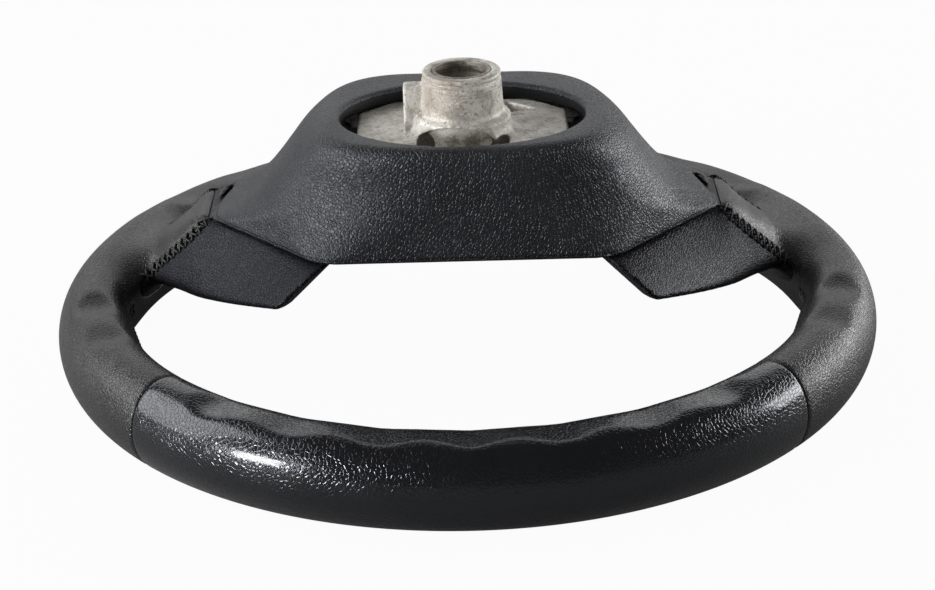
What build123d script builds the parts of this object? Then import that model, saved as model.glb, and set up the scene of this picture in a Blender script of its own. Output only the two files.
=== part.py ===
from build123d import *
import math
import os

# A car steering wheel lying face down: millimetres, +Z towards the steering column, +Y towards six o'clock.
# The origin is on the wheel's axis, in the plane that the front of the rim rests on.

# Rim
rim_diameter = 370.0
grip_width = 34.2
grip_depth = 41.5
core_bar_diameter = 15.0
rim_radius = (rim_diameter - grip_width) / 2
rim_mid_z = grip_depth / 2
spoke_root = rim_radius - grip_width / 2

# Leather and its seams
leather = 1.4
seam_gap = 0.3
glue_gap = 0.05
top_seam_angle = 49.0

# Finger dents on the back of the rim, on the side towards the hub, counted from twelve o'clock
dent_pitch = 15.0
dent_depth = 3.0
dent_radius = 38.0
dent_slant = 38.0
dent_stops = [0, 1, 2, 3, 4, 5, 9, 10, 11, 12]
stops_round = 24

# Rear cover
cover_top_z = 114.6
cover_edge_z = 64.6
cover_wall = 2.6
near_corner_x = 64.0
near_wall_y = -52.0
far_corner_x = 64.0
far_wall_y = 72.0
ear_to_rim = 32.8
ear_x = spoke_root - ear_to_rim
ear_near_y = 8.0
ear_far_y = 46.0
ear_taper = 3.0
flange_edge_radius = 4.0
opening_half_x = 54.1
opening_half_y = 41.8
collar_depth = 7.2
cover_profile = [
    # share of the rise, shifts of near x and y, shares taken off the ear's width and off its near edge,
    # shifts of ear far y, far x and far y, then corner radius
    (0.00, 0, 0, 0, 0, 0, 0, 0, 4),
    (0.05, 0, 0.2, 0.111, 0.1, 1, 0, -0.6, 7),
    (0.14, -0.5, 0.5, 0.278, 0.233, 2, -1, -1.8, 12),
    (0.28, -1, 0.9, 0.444, 0.367, 2, -2, -3.5, 15),
    (0.46, -3, 1.4, 0.574, 0.467, 1, -4, -6, 18),
    (0.66, -5, 2.0, 0.704, 0.55, 0, -6, -9, 20),
    (0.85, -8, 2.6, 0.852, 0.617, -2, -9, -11, 20),
    (1.00, -12, 3.0, 1.019, 0.667, -5, -13, -13, 20),
]

# Slots in the ears of the cover, for the tool that frees the airbag module
slot_length = 24.0
slot_width = 3.5
slot_place = (ear_x - 7.0, 30.5)
slot_lean = 19.0
slot_depth = 14.0

# Spokes
seat_gap = 0.1
spoke_top_z = cover_edge_z - seat_gap
spoke_lean = 18.0
spoke_knee = 5.5
spoke_turn_in = 16.0
under_cover = 6.0
hub_end_drop = 13.25
hub_end_spread = (28.8, 8.0)
hub_end_corner = 3.0
ear_low_z = rim_mid_z + 9.5
ear_spread = (27.0, 26.0)
ear_corner = 4.0
saddle_sections = [
    # share of the lean, way from ear to rim, near top, near low, far low and far top across the spoke,
    # share of the spoke's height, underside above the rim's middle, then corner radius
    (0.5, 0.451, -6.8, -21, 46, 30, 0.754, 4.7, 5),
    (1.0, 0.863, -22, -38, 30, 14, 0.549, -2, 6),
    (1.0, 1.335, -36, -52, 36, 20, 0.343, -12, 6),
]

# Space of the airbag module between the spokes, and the edges of the coverings
cavity_edge_x = near_corner_x - 1.7
cavity_edge_z = cover_edge_z + 1.9
cavity_mid_y = 5.0
cavity_depth = 180.0
foam_setback = 3.0
stitch_top = (ear_x - 1.5, spoke_top_z)
stitch_bottom = (spoke_root + 3.2, rim_mid_z + 3.25)
tuck_width = 9.0

# Hub casting
plate_top_z = 107.0
plate_thickness = 8.0
plate_half_x = 47.0
plate_half_y = 39.5
plate_corner = 16.0
boss_top_z = 134.7
boss_radius = 17.3
boss_draft = 1.2
boss_edge = 0.8
groove_depth = 0.7
groove_z = boss_top_z - 3.4
groove_width = 1.4
pedestal_radius = 24.0
pedestal_height = 8.5
pedestal_draft = 1.5
stem_radius = 21.0
stem_bottom_z = 84.0
lug_reach = 25.5
lug_width = 9.0
lug_top_z = 128.5
pocket_places = [(-8.0, -31.0, 12.0), (11.0, -29.0, 8.5)]
pocket_roof = 2.5
rib_thickness = 4.0
rib_height = 11.0
rib_count = 6
arm_thickness = 11.0
arm_web = 4.5
arm_hub_width = 42.0
arm_hub_y = 10.0
arm_rim_width = 20.0
arm_lip = 4.5
arm_bend_radius = 8.0
arm_knee_x = cavity_edge_x + 1.7
arm_knee_z = 55.5
arm_ear_y = 27.0
arm_ear_z = 45.5

# Splined bush
bush_radius = 13.0
mouth_radius = 11.7
mouth_depth = 5.0
mouth_taper = 2.0
bore_radius = 9.0
bore_length = 30.0
bolt_hole_radius = 7.2

# Cover screws, from the front through the tabs of the casting into the posts of the cover
screw_places = [(51.0, -33.0), (50.0, 40.0)]
screw_radius = 2.2
screw_clearance = 0.15
screw_head_radius = 4.6
screw_head_height = 3.2
screw_edge = 1.0
screw_length = 11.0
screw_point = 1.5
post_radius = 4.6
tab_radius = 6.5
tab_thickness = 4.0
tab_root = 0.55
tab_top_z = plate_top_z - plate_thickness + tab_thickness

# A length that passes right through any solid
through = 300.0


# Helpers
def half_space(point_a, point_b):
    """A large block on the +X side of the slanted plane through two XZ points."""
    (ax, az), (bx, bz) = point_a, point_b
    slope = (bx - ax) / (bz - az)
    low = (ax + slope * (-through - az), -through)
    high = (ax + slope * (through - az), through)
    outline = Polyline(low, high, (high[0] + 2 * through, through), (low[0] + through, -through), close=True)
    return extrude(Plane.XZ * make_face(outline), amount=through, both=True)


def both_sides(solid):
    return solid + mirror(solid, about=Plane.YZ)


def around_rim(angle):
    """Turns a thing made at three o'clock to an angle counted from twelve o'clock."""
    return Rot(0, 0, angle - 90)


# Rim body
def dent_cutter(inset):
    """A round bar that lies slantwise against the inner back quarter of the rim, at three o'clock."""
    slant = math.radians(dent_slant)
    facing = Vector(-math.cos(slant), 0, math.sin(slant))
    along = Vector(math.sin(slant), 0, math.cos(slant))
    surface = math.hypot(grip_width / 2 * facing.X, grip_depth / 2 * facing.Z)
    axis_point = Vector(rim_radius, 0, rim_mid_z) + facing * (surface - dent_depth + dent_radius)
    return Plane(origin=axis_point, z_dir=along) * Cylinder(dent_radius + inset, 3 * grip_depth)


def dent_angles():
    half = stops_round // 2
    stops = range(-stops_round, stops_round + 1)
    return [stop * dent_pitch for stop in stops if abs((stop + half) % stops_round - half) in dent_stops]


def grip_sector(inset, start, end):
    """The rim between two angles counted from twelve o'clock, with its finger dents."""
    section = Pos(rim_radius, rim_mid_z) * Ellipse(grip_width / 2 - inset, grip_depth / 2 - inset)
    sector = around_rim(start) * revolve(Plane.XZ * section, Axis.Z, revolution_arc=end - start)
    bar = dent_cutter(inset)
    half_pitch = dent_pitch / 2
    reached = [angle for angle in dent_angles() if start - half_pitch < angle < end + half_pitch]
    return sector - [around_rim(angle) * bar for angle in reached]


# Spoke body
def edge_y(start, end, x):
    """Y at a given x on the straight line between two plan points."""
    return start[1] + (end[1] - start[1]) * (x - start[0]) / (end[0] - start[0])


def spoke_stations():
    """Turn, reach, then the across and height values of each section, from the hub to inside the rim."""
    inner_x = near_corner_x - under_cover
    near_y = edge_y((near_corner_x, near_wall_y), (ear_x, ear_near_y), inner_x)
    far_y = edge_y((far_corner_x, far_wall_y), (ear_x, ear_far_y), inner_x)
    stations = [
        (0, inner_x, near_y, near_y - hub_end_spread[0], far_y + hub_end_spread[1], far_y,
         spoke_top_z, spoke_top_z - hub_end_drop, hub_end_corner),
        (0, ear_x, ear_near_y, ear_near_y - ear_spread[0], ear_far_y + ear_spread[1], ear_far_y,
         spoke_top_z, ear_low_z, ear_corner),
    ]
    for lean, way, near_top, near_low, far_low, far_top, height, low, corner in saddle_sections:
        reach = ear_x + way * (spoke_root - ear_x)
        top = rim_mid_z + height * (spoke_top_z - rim_mid_z)
        turn = lean * spoke_lean
        stations.append((turn, reach, near_top, near_low, far_low, far_top, top, rim_mid_z + low, corner))
    return stations


def spoke_section(station, inset):
    turn, reach, near_top, near_low, far_low, far_top, top, low, corner = station
    outward = Vector(1, 0, 0).rotate(Axis.Z, turn)
    across = Vector(0, 1, 0).rotate(Axis.Z, turn)
    knee = low + spoke_knee
    outline = Polyline(
        (near_top, top), (near_low, knee), (near_low + spoke_turn_in, low), (far_low - spoke_turn_in, low),
        (far_low, knee), (far_top, top), close=True)
    face = make_face(outline)
    if inset:
        face = offset(face, -inset, kind=Kind.INTERSECTION)
    face = fillet(face.vertices(), corner - inset)
    return Plane(origin=outward * reach, x_dir=across, z_dir=outward) * face


def spoke_body(inset):
    sections = [spoke_section(station, inset) for station in spoke_stations()]
    return loft(sections[:2], ruled=True) + loft(sections[1:])


# Zones that part the coverings
def airbag_cavity(setback):
    """The space between the slanted inner ends of the spokes."""
    edge = (cavity_edge_x + setback, cavity_edge_z)
    lower = (cavity_edge_x + setback + cavity_edge_z, 0)
    right = half_space(edge, lower)
    block = Pos(0, cavity_mid_y, 0) * Box(through, cavity_depth, through)
    return block - right - mirror(right, about=Plane.YZ)


def skin_zone(gap):
    """The part of the right spoke that has its own skin, up to the stitched edge."""
    outer = half_space(stitch_top, stitch_bottom)
    reach = Cylinder(spoke_root - 1, through)
    half = Pos(through / 2, 0, 0) * Box(through, through, through)
    return half & reach - Pos(-gap, 0, 0) * outer


# Rear cover
def cover_levels():
    """Height, four corners of the right half and corner radius of each level of the cover."""
    levels = []
    for share, near_dx, near_dy, narrower, shorter, ear_far_dy, far_dx, far_dy, corner in cover_profile:
        height = cover_edge_z + share * (cover_top_z - cover_edge_z)
        near = (near_corner_x + near_dx, near_wall_y + near_dy)
        ear_tip_x = ear_x - narrower * (ear_x - near_corner_x)
        ear_near = (ear_tip_x, ear_near_y - shorter * (ear_near_y - near_wall_y))
        ear_far = (ear_tip_x - ear_taper, ear_far_y + ear_far_dy)
        far = (far_corner_x + far_dx, far_wall_y + far_dy)
        levels.append((height, [near, ear_near, ear_far, far], corner))
    return levels


def cover_section(level, inset, drop):
    height, right, corner = level
    left = [(-x, y) for x, y in reversed(right)]
    face = make_face(Polyline(*right, *left, close=True))
    if inset:
        face = offset(face, -inset, kind=Kind.INTERSECTION)
    face = fillet(face.vertices(), corner - inset)
    return Pos(0, 0, height - drop) * face


def cover_form(inset, drop):
    return loft([cover_section(level, inset, drop) for level in cover_levels()])


def tool_slot(length, width, depth):
    x, y = slot_place
    cut = extrude(SlotOverall(length, width), amount=depth, both=True)
    return Pos(x, y, cover_edge_z) * Rot(0, 0, 90 + slot_lean) * cut


def screw_spots():
    return [(side * x, y) for x, y in screw_places for side in (-1, 1)]


def screw_hole():
    return Circle(screw_radius + screw_clearance)


def rear_cover():
    outer = cover_form(0, 0)
    top_edges = outer.faces().sort_by(Axis.Z)[-1].edges()
    shell = fillet(top_edges, flange_edge_radius) - cover_form(cover_wall, cover_wall)
    in_the_top = cover_top_z - cover_wall / 2
    collar = Ellipse(opening_half_x + cover_wall, opening_half_y + cover_wall)
    collar_bottom = cover_top_z - collar_depth
    shell += Pos(0, 0, collar_bottom) * extrude(collar, amount=in_the_top - collar_bottom)
    post_bottom = tab_top_z + seat_gap
    post = extrude(Circle(post_radius), amount=in_the_top - post_bottom)
    shell += [Pos(x, y, post_bottom) * post for x, y in screw_spots()]
    shell -= extrude(Ellipse(opening_half_x, opening_half_y), amount=through)
    pilot = extrude(screw_hole(), amount=screw_length - tab_thickness)
    shell -= [Pos(x, y, tab_top_z) * pilot for x, y in screw_spots()]
    return shell - both_sides(tool_slot(slot_length, slot_width, slot_depth))


# Hub casting
def arm_outline():
    """Plan outline of the right arm, from under the plate to the ring."""
    lean = math.radians(spoke_lean)
    end_x = rim_radius * math.cos(lean)
    end_y = rim_radius * math.sin(lean)
    half_hub = arm_hub_width / 2
    half_rim = arm_rim_width / 2
    return make_face(Polyline(
        (0, arm_hub_y - half_hub), (plate_half_x, arm_hub_y - half_hub),
        (end_x + 4, end_y - half_rim), (end_x - 4, end_y + half_rim),
        (ear_x, arm_ear_y + half_rim), (plate_half_x + 10, arm_hub_y + half_hub),
        (0, arm_hub_y + half_hub), close=True))


def arm_line(drop):
    """Side view of the arm: off the plate, down past the cavity and out to the ring."""
    plate_z = tab_top_z - arm_thickness / 2
    return FilletPolyline(
        (plate_half_x - 16, plate_z - drop), (plate_half_x + 4, plate_z - drop),
        (arm_knee_x, arm_knee_z - drop), (ear_x, arm_ear_z - drop),
        (rim_radius - 2, rim_mid_z - drop), radius=arm_bend_radius)


def arm():
    """A channel, open to the front, with a web and two lips."""
    profile = offset(arm_line(0), arm_thickness / 2, side=Side.BOTH)
    solid = extrude(Plane.XZ * make_face(profile), amount=through, both=True)
    plan = extrude(arm_outline(), amount=through)
    hollow_line = offset(arm_line(arm_web), arm_thickness / 2, side=Side.BOTH)
    hollow = extrude(Plane.XZ * make_face(hollow_line), amount=through, both=True)
    hollow &= extrude(offset(arm_outline(), -arm_lip), amount=through)
    return (solid & plan) - hollow


def plate_outline():
    plate = Rectangle(2 * plate_half_x, 2 * plate_half_y)
    return chamfer(plate.vertices(), plate_corner)


def boss():
    """Pedestal, boss and the stem below the plate, turned round the axis."""
    pedestal_top = plate_top_z + pedestal_height
    half = make_face(Polyline(
        (0, stem_bottom_z), (stem_radius, stem_bottom_z), (stem_radius, plate_top_z),
        (pedestal_radius, plate_top_z), (pedestal_radius - pedestal_draft, pedestal_top),
        (boss_radius + boss_draft, pedestal_top), (boss_radius, groove_z),
        (boss_radius - groove_depth, groove_z + groove_depth / 2),
        (boss_radius - groove_depth, groove_z + groove_width - groove_depth / 2),
        (boss_radius, groove_z + groove_width), (boss_radius, boss_top_z - boss_edge),
        (boss_radius - boss_edge, boss_top_z), (0, boss_top_z), close=True))
    return revolve(Plane.XZ * half, Axis.Z)


def plate_ribs():
    """Straight ribs that run from the stem to the edge of the plate, on its underside."""
    reach = math.hypot(plate_half_x, plate_half_y)
    rib = Pos(reach / 2, 0, 0) * Box(reach, rib_thickness, rib_height)
    turns = [360 / rib_count * (number + 0.5) for number in range(rib_count)]
    under = plate_top_z - plate_thickness - rib_height
    limit = Pos(0, 0, under) * extrude(plate_outline(), amount=rib_height)
    return limit & [Pos(0, 0, under + rib_height / 2) * Rot(0, 0, turn) * rib for turn in turns]


def plate_pockets():
    """Round pockets through the plate that run in under the lip of the pedestal, towards twelve o'clock."""
    bottom = plate_top_z - plate_thickness
    height = plate_thickness + pedestal_height - pocket_roof
    return [Pos(x, y, bottom) * extrude(Circle(radius), amount=height) for x, y, radius in pocket_places]


def hub_casting():
    body = Pos(0, 0, plate_top_z - plate_thickness) * extrude(plate_outline(), amount=plate_thickness)
    for x, y in screw_spots():
        tab = make_hull([Pos(x * share, y * share) * Circle(tab_radius).edge() for share in (tab_root, 1)])
        body += Pos(0, 0, tab_top_z - tab_thickness) * extrude(tab, amount=tab_thickness)
    body += both_sides(arm())
    body += boss()
    body -= plate_pockets()
    lug_height = lug_top_z - plate_top_z
    body += Pos(-lug_reach / 2, 0, plate_top_z + lug_height / 2) * Box(lug_reach, lug_width, lug_height)
    body += plate_ribs()
    body -= extrude(Circle(bush_radius), amount=through)
    body -= [Pos(x, y, 0) * extrude(screw_hole(), amount=through) for x, y in screw_spots()]
    return body - rim_core_ring()


def rim_core_ring():
    bar = Pos(rim_radius, rim_mid_z) * Circle(core_bar_diameter / 2)
    return around_rim(0) * revolve(Plane.XZ * bar, Axis.Z)


def hub_spline_bush():
    bore_top = boss_top_z - mouth_depth
    bore_bottom = bore_top - bore_length
    half = make_face(Polyline(
        (bolt_hole_radius, stem_bottom_z), (bush_radius, stem_bottom_z), (bush_radius, boss_top_z),
        (mouth_radius, boss_top_z), (mouth_radius, bore_top), (bore_radius, bore_top - mouth_taper),
        (bore_radius, bore_bottom), (bolt_hole_radius, bore_bottom), close=True))
    return revolve(Plane.XZ * half, Axis.Z)


def rear_cover_screws():
    seat = tab_top_z - tab_thickness
    tip = seat + screw_length - seat_gap
    half = make_face(Polyline(
        (0, seat - screw_head_height), (screw_head_radius - screw_edge, seat - screw_head_height),
        (screw_head_radius, seat - screw_edge), (screw_head_radius, seat), (screw_radius, seat),
        (screw_radius, tip - screw_point), (0, tip), close=True))
    screw = revolve(Plane.XZ * half, Axis.Z)
    return Compound(children=[Pos(x, y, 0) * screw for x, y in screw_spots()])


# Coverings and foam
def right_side(inset, start, end):
    """The right part of the rim with its spoke."""
    return grip_sector(inset, start, end) + spoke_body(inset)


def tuck_cut():
    """What is cut out of the skins under the cover, inside the strip that is tucked in."""
    footprint = offset(cover_section(cover_levels()[0], 0, cover_edge_z), -tuck_width)
    return Pos(0, 0, cover_edge_z) * extrude(footprint, amount=4 * leather, both=True)


def half_seam():
    """Half of a seam's gap, in degrees round the rim."""
    return math.degrees(seam_gap / rim_radius) / 2


def right_coverings():
    """The right leather panel and the right spoke skin, cut from one shell round the foam."""
    first = top_seam_angle + half_seam()
    last = 180 - half_seam()
    shell = right_side(0, first, last) - right_side(leather, first - 1, last + 1)
    shell -= airbag_cavity(0)
    shell -= tuck_cut()
    shell -= tool_slot(slot_length, 2 * slot_width, slot_depth)
    return shell - skin_zone(0), shell & skin_zone(seam_gap)


def leather_top_panel():
    edge = top_seam_angle - half_seam()
    return grip_sector(0, -edge, edge) - grip_sector(leather, -edge - 1, edge + 1)


def foam_body():
    """One moulding round the ring and the arms, made as three thirds of the rim that meet between dents."""
    inset = leather + glue_gap
    third = stops_round / 3 * dent_pitch
    first = -third / 2 - dent_pitch / 2
    body = right_side(inset, first + third, first + 2 * third)
    body += grip_sector(inset, first, first + third)
    body += grip_sector(inset, first + 2 * third, first + 3 * third)
    body += mirror(spoke_body(inset), about=Plane.YZ)
    body -= airbag_cavity(foam_setback)
    body -= hub_casting()
    body -= rim_core_ring()
    return body - both_sides(tool_slot(slot_length, 2 * slot_width, slot_depth))


def save(solid, name):
    export_step(solid, os.path.join("parts", name + ".step"))


def main():
    os.makedirs("parts", exist_ok=True)
    right_leather, right_skin = right_coverings()
    save(leather_top_panel(), "leather_top_panel")
    save(right_leather, "leather_right_panel")
    save(mirror(right_leather, about=Plane.YZ), "leather_left_panel")
    save(right_skin, "right_spoke_skin")
    save(mirror(right_skin, about=Plane.YZ), "left_spoke_skin")
    save(foam_body(), "foam_body")
    save(hub_casting(), "hub_casting")
    save(rim_core_ring(), "rim_core_ring")
    save(hub_spline_bush(), "hub_spline_bush")
    save(rear_cover(), "rear_cover")
    save(rear_cover_screws(), "rear_cover_screws")


main()
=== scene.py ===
import math
import bmesh
import bpy
import numpy as np
from mathutils import Matrix, Vector

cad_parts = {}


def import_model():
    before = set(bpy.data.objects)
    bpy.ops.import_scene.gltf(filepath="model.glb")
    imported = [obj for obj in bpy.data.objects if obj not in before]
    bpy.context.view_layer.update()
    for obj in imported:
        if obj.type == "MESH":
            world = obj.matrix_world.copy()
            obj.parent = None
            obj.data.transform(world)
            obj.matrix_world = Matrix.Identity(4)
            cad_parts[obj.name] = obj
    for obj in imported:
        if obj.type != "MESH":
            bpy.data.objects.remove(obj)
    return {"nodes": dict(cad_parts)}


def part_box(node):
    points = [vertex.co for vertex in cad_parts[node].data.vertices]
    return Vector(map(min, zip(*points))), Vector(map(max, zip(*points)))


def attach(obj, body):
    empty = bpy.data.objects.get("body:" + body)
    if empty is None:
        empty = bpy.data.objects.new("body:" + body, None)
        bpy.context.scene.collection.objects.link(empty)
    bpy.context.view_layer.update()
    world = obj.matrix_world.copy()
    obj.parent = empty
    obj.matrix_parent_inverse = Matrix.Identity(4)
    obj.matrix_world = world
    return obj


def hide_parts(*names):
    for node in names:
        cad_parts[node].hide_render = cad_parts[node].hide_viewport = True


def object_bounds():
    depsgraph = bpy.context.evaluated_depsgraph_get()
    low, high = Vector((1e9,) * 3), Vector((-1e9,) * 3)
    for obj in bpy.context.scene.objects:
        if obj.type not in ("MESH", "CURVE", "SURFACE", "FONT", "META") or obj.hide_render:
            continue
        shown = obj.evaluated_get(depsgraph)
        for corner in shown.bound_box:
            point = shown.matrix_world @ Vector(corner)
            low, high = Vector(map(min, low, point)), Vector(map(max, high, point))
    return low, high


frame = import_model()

# A car steering wheel that lies face down, dressed on the frame of its solids.
# Forms are worked out in millimetres as fields that are negative inside, and their meshes are in metres.
cad_low, cad_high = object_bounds()
MM = 0.001
far_away = 99.0

# Rim
rim_diameter = (cad_high.x - cad_low.x) / MM
grip_width = 34.2
grip_depth = 41.5
rim_radius = (rim_diameter - grip_width) / 2
rim_mid_z = grip_depth / 2
spoke_root = rim_radius - grip_width / 2
dent_softness = 1.2
dents = np.array([
    # angle from twelve o'clock, and depth of the finger dents there, below 0 where there are none
    (0, 3.0), (6.25, 1.3), (12.5, 3.0), (18.75, 1.3), (25, 3.0), (31.25, 1.3), (37.5, 3.0), (45, -2.0),
    (59, -2.0), (67, 3.0), (73, 1.1), (79, 3.0), (87, -2.0), (118, -2.0), (126, 2.6), (134, 0.8), (141, 2.8),
    (147, 1.2), (153, 2.8), (159, 1.2), (165, 2.8), (172, 1.2), (180, 2.8),
])
hollow_depth = 3.4
hollow_angle = 89.0
hollow_width = 7.5
top_seam_angle = 49.0
leather = 1.4
foam_inset = 2.3
body_step = 1.6
foam_step = 2.6

# Rear cover
cover_top_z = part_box("rear_cover")[1].z / MM
cover_edge_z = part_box("rear_cover")[0].z / MM
cover_wall = 2.6
near_corner = (64.0, -52.0)
far_corner = (64.0, 72.0)
ear_x = 118.0
ear_near_y = 8.0
ear_far_y = 46.0
ear_taper = 3.0
opening_half = (54.1, 41.8)
collar_depth = 7.2
cover_profile = np.array([
    # share of the rise, shifts of near x and y, ear x, ear near y, ear far y, far x and y, then corner radius
    (0.00, 0, 0, 0, 0, 0, 0, 0, 3),
    (0.05, 0, 0.2, -6, -6, 1, 0, -0.6, 5),
    (0.14, -0.5, 0.5, -15, -14, 2, -1, -1.8, 9),
    (0.28, -1, 0.9, -24, -22, 2, -2, -3.5, 14),
    (0.46, -3, 1.4, -31, -28, 1, -4, -6, 18),
    (0.66, -5, 2.0, -38, -33, 0, -6, -9, 20),
    (0.85, -8, 2.6, -45, -37, -2, -9, -11, 19),
    (1.00, -12, 3.0, -53, -40, -5, -13, -13, 19),
])
cover_corner_softness = (1.9, 1.1, 1.1, 1.1)
cover_top_round = 4.7
cover_edge_round = 1.2
cover_inner_round = 0.8
collar_fillet = 1.5
opening_round = 2.4
smooth_wall_reach = 1.08
smooth_wall_drop = 1.6
cover_step = 1.3
slot_size = (24.0, 3.5)
slot_place = (111.0, 30.5)
slot_lean = math.radians(19.0)
slot_round = 1.0

# Spokes
spoke_top_z = cover_edge_z - 0.1
bend_start = 105.0
spoke_knee = 5.5
spoke_turn_in = 16.0
cavity_reach = 128.8
lip_reach = 7.0
lip_place = (-58.0, -46.0)
saddle_radius = 15.0
spoke_end_round = 4.0
cavity_round = 1.2
spoke_from_x = 52.0
spoke_mid_y = 5.0
spoke_half_y = 115.0
spoke_far_off = 110.0
stitch_top = (116.5, 64.5)
stitch_bottom = (157.5, 24.0)
spoke_stations = np.array([
    # reach, near top, near low, far low, far top, top, low, corner radius
    (58, -58.7, -87.5, 82.9, 74.9, spoke_top_z, rim_mid_z + 30.5, 2.5),
    (ear_x, 8, -19, 72, 46, spoke_top_z, rim_mid_z + 9.5, 4),
    (134.5, 14, 0, 66, 50, rim_mid_z + 33, rim_mid_z + 6, 8),
    (148, 24, 10, 68, 56, rim_mid_z + 24, rim_mid_z + 3, 10),
    (164, 24, 8, 80, 66, rim_mid_z + 15, rim_mid_z - 2, 10),
])

# Hub casting
boss_top_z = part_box("hub_casting")[1].z / MM
boss_radius = 17.3
boss_draft = 0.06
boss_round = 1.4
groove_z = boss_top_z - 2.8
groove_depth = 0.55
groove_width = 0.6
turned_start_z = boss_top_z - 11.0
turned_full_z = boss_top_z - 5.0
pedestal_radius = 21.6
pedestal_top_z = 115.2
pedestal_round = 2.5
plate_top_z = 107.0
plate_thickness = 8.0
plate_half = (47.0, 39.5)
plate_corner = 16.0
plate_round = 1.6
plate_fillet = 6.0
stem_radius = 21.0
stem_bottom_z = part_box("hub_spline_bush")[0].z / MM
bush_radius = 13.0
lug_box = ((-25.8, -10.0), (-4.4, 4.4), (plate_top_z - 2, 128.4))
lug_round = 1.2
lug_fillet = 0.4
arch_place = (-2.5, 104.0)
arch_half = (17.5, 10.3)
arch_depth = 3.0
arch_far_y = -6.0
arch_floor = 1.5
arch_round = 0.9
pockets = [(-16.2, 104.8, 4.0), (17.0, 104.2, 4.2)]
pocket_wall = 2.0
pocket_far_y = -5.0
pocket_round = 0.7
window = [(20.5, 20.5), (33.0, 25.5), (20.5, 35.0)]
window_floor_z = 102.0
window_corner = 1.5
window_round = 1.2
screw_places = [(51.0, -33.0), (50.0, 40.0)]
tab_radius = 6.5
tab_top_z = plate_top_z - plate_thickness + 4.0
tab_round = 1.0
tab_fillet = 3.0
rib_half = 2.0
rib_height = 11.0
rib_turns = (30, 90, 150)
rib_sink = 1.0
rib_fillet = 2.0
hub_step = 0.8
arm_half_thickness = 5.5
arm_web = 4.5
arm_lip = 4.5
arm_line = [(36.0, 97.5), (51.0, 97.5), (64.0, 55.5), (ear_x, 45.5), (rim_radius - 2, rim_mid_z)]
arm_plan = [(47.0, -11.0), (162.7, 42.4), (156.7, 61.4), (ear_x, 37.0), (57.0, 31.0)]
arm_round = 1.5
arm_step = 1.8
arm_start = 56.0
arm_overlap = 3.0

# Seams and stitching
stitch_cylinder = spoke_root - 1.0
roll_width = 2.4
roll_depth = 1.1
roll_fullness = 0.98
cut_places = [-2.4, -1.2, -0.4, 0.0, 0.4, 1.2, 2.4]
cut_reach = 8.0
cut_merge = 0.02
skin_from_x = 50.0
stitch_from_x = 60.0
stitch_margin = 4.0
top_panel_margin = 5.0
back_seam_from_y = 100.0
thread_radius = 0.58
thread_sides = 6
stitch_points = 7
stitch_pitch = 4.3
stitch_half_width = 3.0
stitch_slant = 0.46
stitch_lift = 0.45
over_lift = 0.3
end_sink = 0.9
inner_seam_z = 22.0
inner_seam_start = 125.0
near_side_y = -40.0
far_side_y = 118.0
spoke_heart_y = 28.0
upper_seam = (-91.0, 91.0)
lower_seam = (124.0, 236.0)
spoke_seam_samples = 90
rim_seam_samples = 400

# Camera, floor and world
camera_lens = 91.16
camera_sensor = 36.0
camera_shift = (0.0004, 0.0119)
camera_elevation = math.radians(24.06)
camera_roll = math.radians(-1.46)
camera_place = (0, -0.99035, 0.46294)
floor_size = 8.0
floor_shades = (0.36, 0.40)
floor_white_share = 0.96
world_level = 0.13


# Field helpers
def join(a, b, soft):
    """Union of two fields with a fillet of about the given radius."""
    share = np.maximum(soft - np.abs(a - b), 0) / soft
    return np.minimum(a, b) - share * share * soft / 4


def meet(a, b, soft):
    """Intersection of two fields with a rounded edge."""
    return -join(-a, -b, soft)


def glide(at, places, values):
    """Smooth interpolation that never overshoots the values it passes through."""
    at = np.clip(at, places[0], places[-1])
    widths = np.diff(places)
    slopes = np.diff(values) / widths
    tangents = np.concatenate([slopes[:1], np.zeros(len(places) - 2), slopes[-1:]])
    same_way = slopes[:-1] * slopes[1:] > 0
    pairs = np.where(same_way, slopes[:-1] + slopes[1:], 1)
    tangents[1:-1] = np.where(same_way, 2 * slopes[:-1] * slopes[1:] / pairs, 0)
    span = np.clip(np.searchsorted(places, at, side="right") - 1, 0, len(widths) - 1)
    width = widths[span]
    way = (at - places[span]) / width
    rest = 1 - way
    ends = values[span] * (1 + 2 * way) * rest ** 2 + values[span + 1] * (3 - 2 * way) * way ** 2
    bends = tangents[span] * way * rest ** 2 - tangents[span + 1] * way ** 2 * rest
    return ends + bends * width


def past_line(u, v, start, end):
    """Distance to the right of the line from start to end, in a plane."""
    du, dv = end[0] - start[0], end[1] - start[1]
    return ((u - start[0]) * dv - (v - start[1]) * du) / np.maximum(np.hypot(du, dv), 1e-6)


def inside_outline(u, v, corners, soft):
    """Field of a convex outline, given by its corners anticlockwise, with rounded corners."""
    sides = list(zip(corners, corners[1:] + corners[:1]))
    field = past_line(u, v, *sides[0])
    for side in sides[1:]:
        field = meet(field, past_line(u, v, *side), soft)
    return field


# Fields of the padded body
def grip_field(p):
    """The rim, with its finger dents and the hollows inside it at the spokes."""
    radius = np.hypot(p[..., 0], p[..., 1])
    out = radius - rim_radius
    up = p[..., 2] - rim_mid_z
    half_w, half_d = grip_width / 2, grip_depth / 2
    angle = np.degrees(np.arctan2(p[..., 0], -p[..., 1]))
    hollow = hollow_depth * np.exp(-((np.abs(angle) - hollow_angle) / hollow_width) ** 2)
    width = half_w - np.where(out < 0, hollow, 0)
    level = np.hypot(out / width, up / half_d)
    rate = np.hypot(out / width ** 2, up / half_d ** 2)
    body = level * (level - 1) / np.maximum(rate, 1e-6)
    dent = up - half_d + glide(np.abs(angle), dents[:, 0], dents[:, 1])
    return meet(body, dent, dent_softness)


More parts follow.
